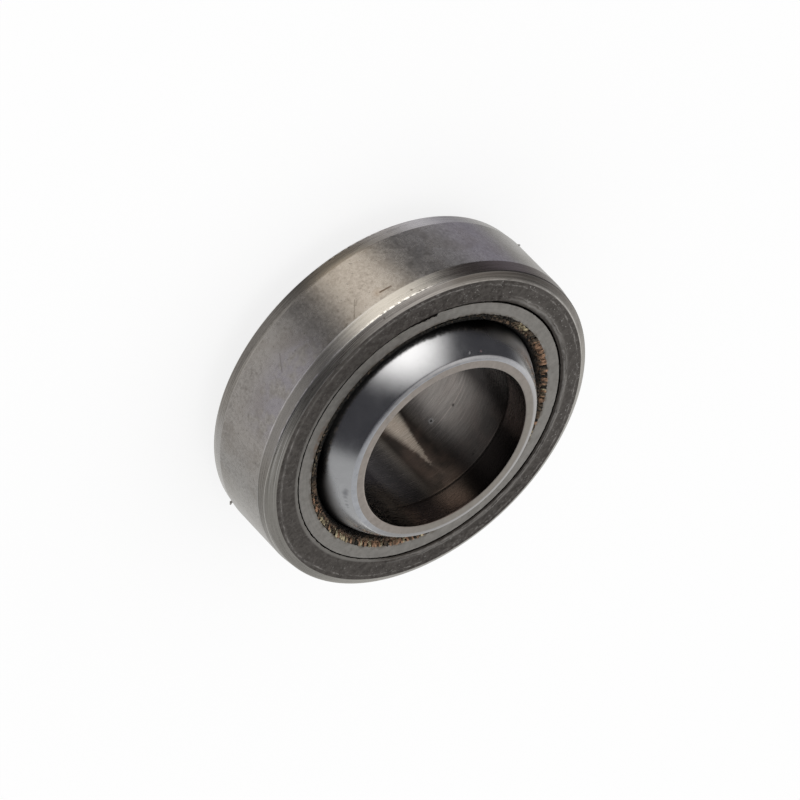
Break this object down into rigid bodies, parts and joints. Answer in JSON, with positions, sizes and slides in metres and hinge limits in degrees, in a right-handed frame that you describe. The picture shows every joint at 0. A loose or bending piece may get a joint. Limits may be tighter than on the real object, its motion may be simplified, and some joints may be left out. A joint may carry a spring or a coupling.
{
  "type": "spherical plain bearing",
  "caption": "Self-lining spherical plain bearing: a bored inner ring with a ball-shaped outside that spins and tilts in a lined race, held in a wide outer sleeve.",
  "frame": {"origin": "centre of the ball, halfway through the bearing's width on the bore axis", "axes": "+Z along the bore axis, out of the face that the picture shows; X and Y are equal by symmetry, and the modelled tilt turns about X"},
  "size_m": [0.04, 0.04, 0.0166],
  "materials": {
    "sleeve_steel": "dark treated steel, satin, with fine scratches and stains",
    "race_steel": "fine turned, satin light grey",
    "liner_fabric": "woven bronze-brown liner with a frayed edge",
    "ball_steel": "mirror-polished ball, satin faces, ground bore"
  },
  "bodies": {
    "housing": {"outer_sleeve": "sleeve_steel", "race_insert": "race_steel"},
    "liner": {"fabric_liner": "liner_fabric"},
    "ball": {"inner_ring": "ball_steel"}
  },
  "joints": [
    {"name": "inner_ring_spin", "type": "hinge", "parent": "housing", "child": "liner", "pos_m": [0, 0, 0], "axis": [0, 0, 1], "continuous": true},
    {"name": "inner_ring_tilt", "type": "hinge", "parent": "liner", "child": "ball", "pos_m": [0, 0, 0], "axis": [1, 0, 0], "range_deg": [-14, 14]}
  ]
}
